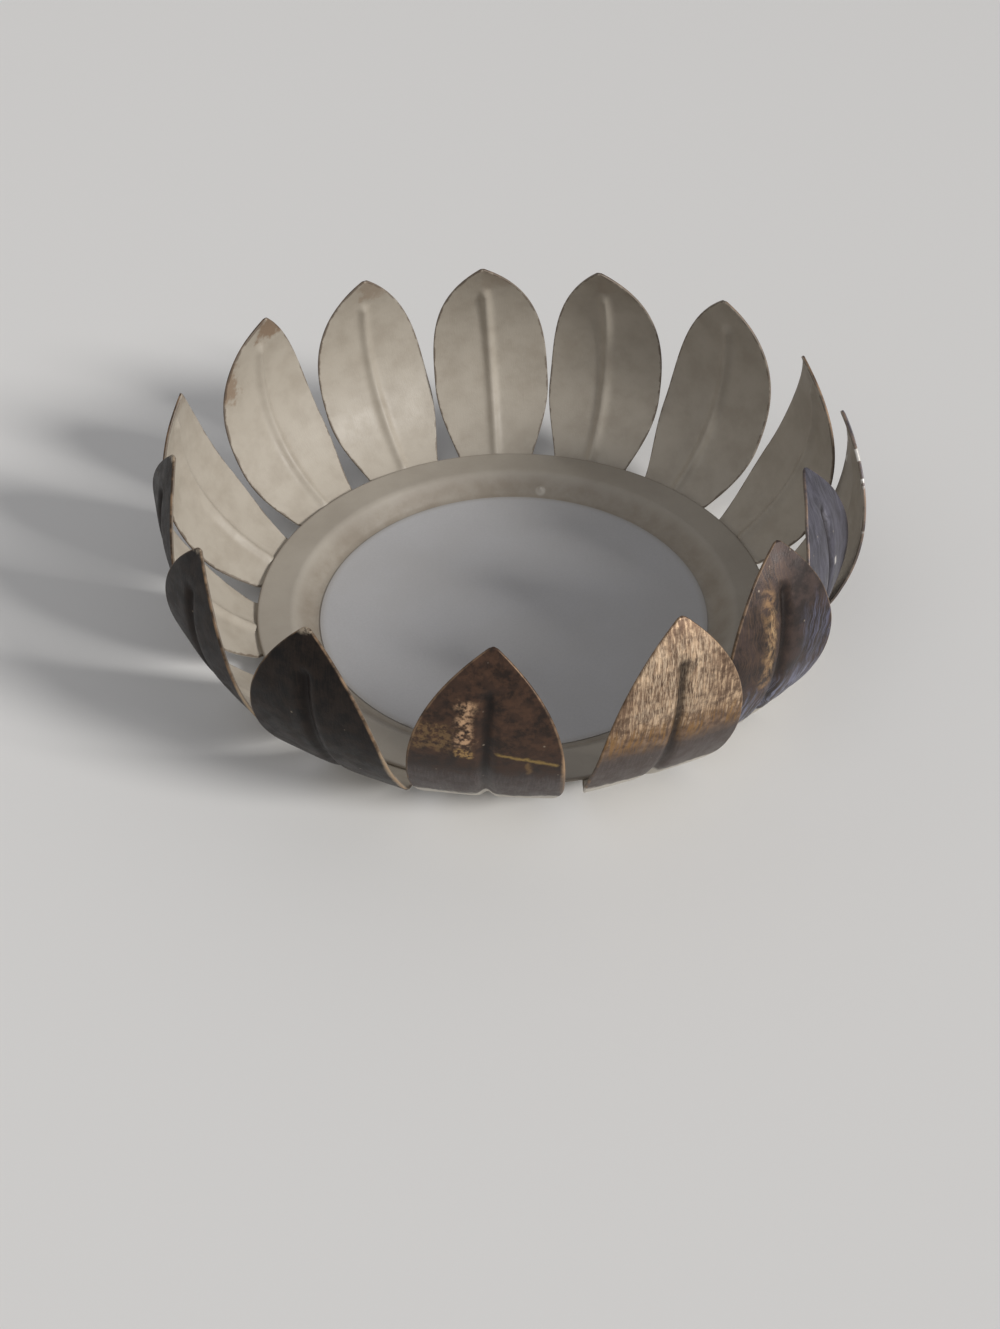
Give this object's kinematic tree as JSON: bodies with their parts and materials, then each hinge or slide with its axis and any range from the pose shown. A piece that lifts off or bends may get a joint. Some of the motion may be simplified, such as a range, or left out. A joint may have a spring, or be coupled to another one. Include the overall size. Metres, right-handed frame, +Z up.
{
  "type": "candle ring",
  "caption": "Metal cup for a pillar candle: a round pan with a shallow well, ringed by leaf-shaped petals that curve up and lean in.",
  "frame": {"origin": "centre of the flat underside of the pan's well, where the cup rests", "axes": "+Z up through the cup's centre, +Y towards the back, +X to the right"},
  "size_m": [0.1295, 0.1283, 0.0454],
  "materials": {
    "pan_paint": "cream satin paint, slightly soiled",
    "label_paper": "plain matt paper",
    "petal_metal": "antique bronze patina outside, cream paint inside",
    "solder": "dull solder"
  },
  "bodies": {
    "root": {"pan": "pan_paint", "label": "label_paper", "petal_01": "petal_metal", "petal_02": "petal_metal", "petal_03": "petal_metal", "petal_04": "petal_metal", "petal_05": "petal_metal", "petal_06": "petal_metal", "petal_07": "petal_metal", "petal_08": "petal_metal", "petal_09": "petal_metal", "petal_10": "petal_metal", "petal_11": "petal_metal", "petal_12": "petal_metal", "petal_13": "petal_metal", "petal_14": "petal_metal", "petal_15": "petal_metal", "tab_welds": "solder"}
  },
  "joints": []
}
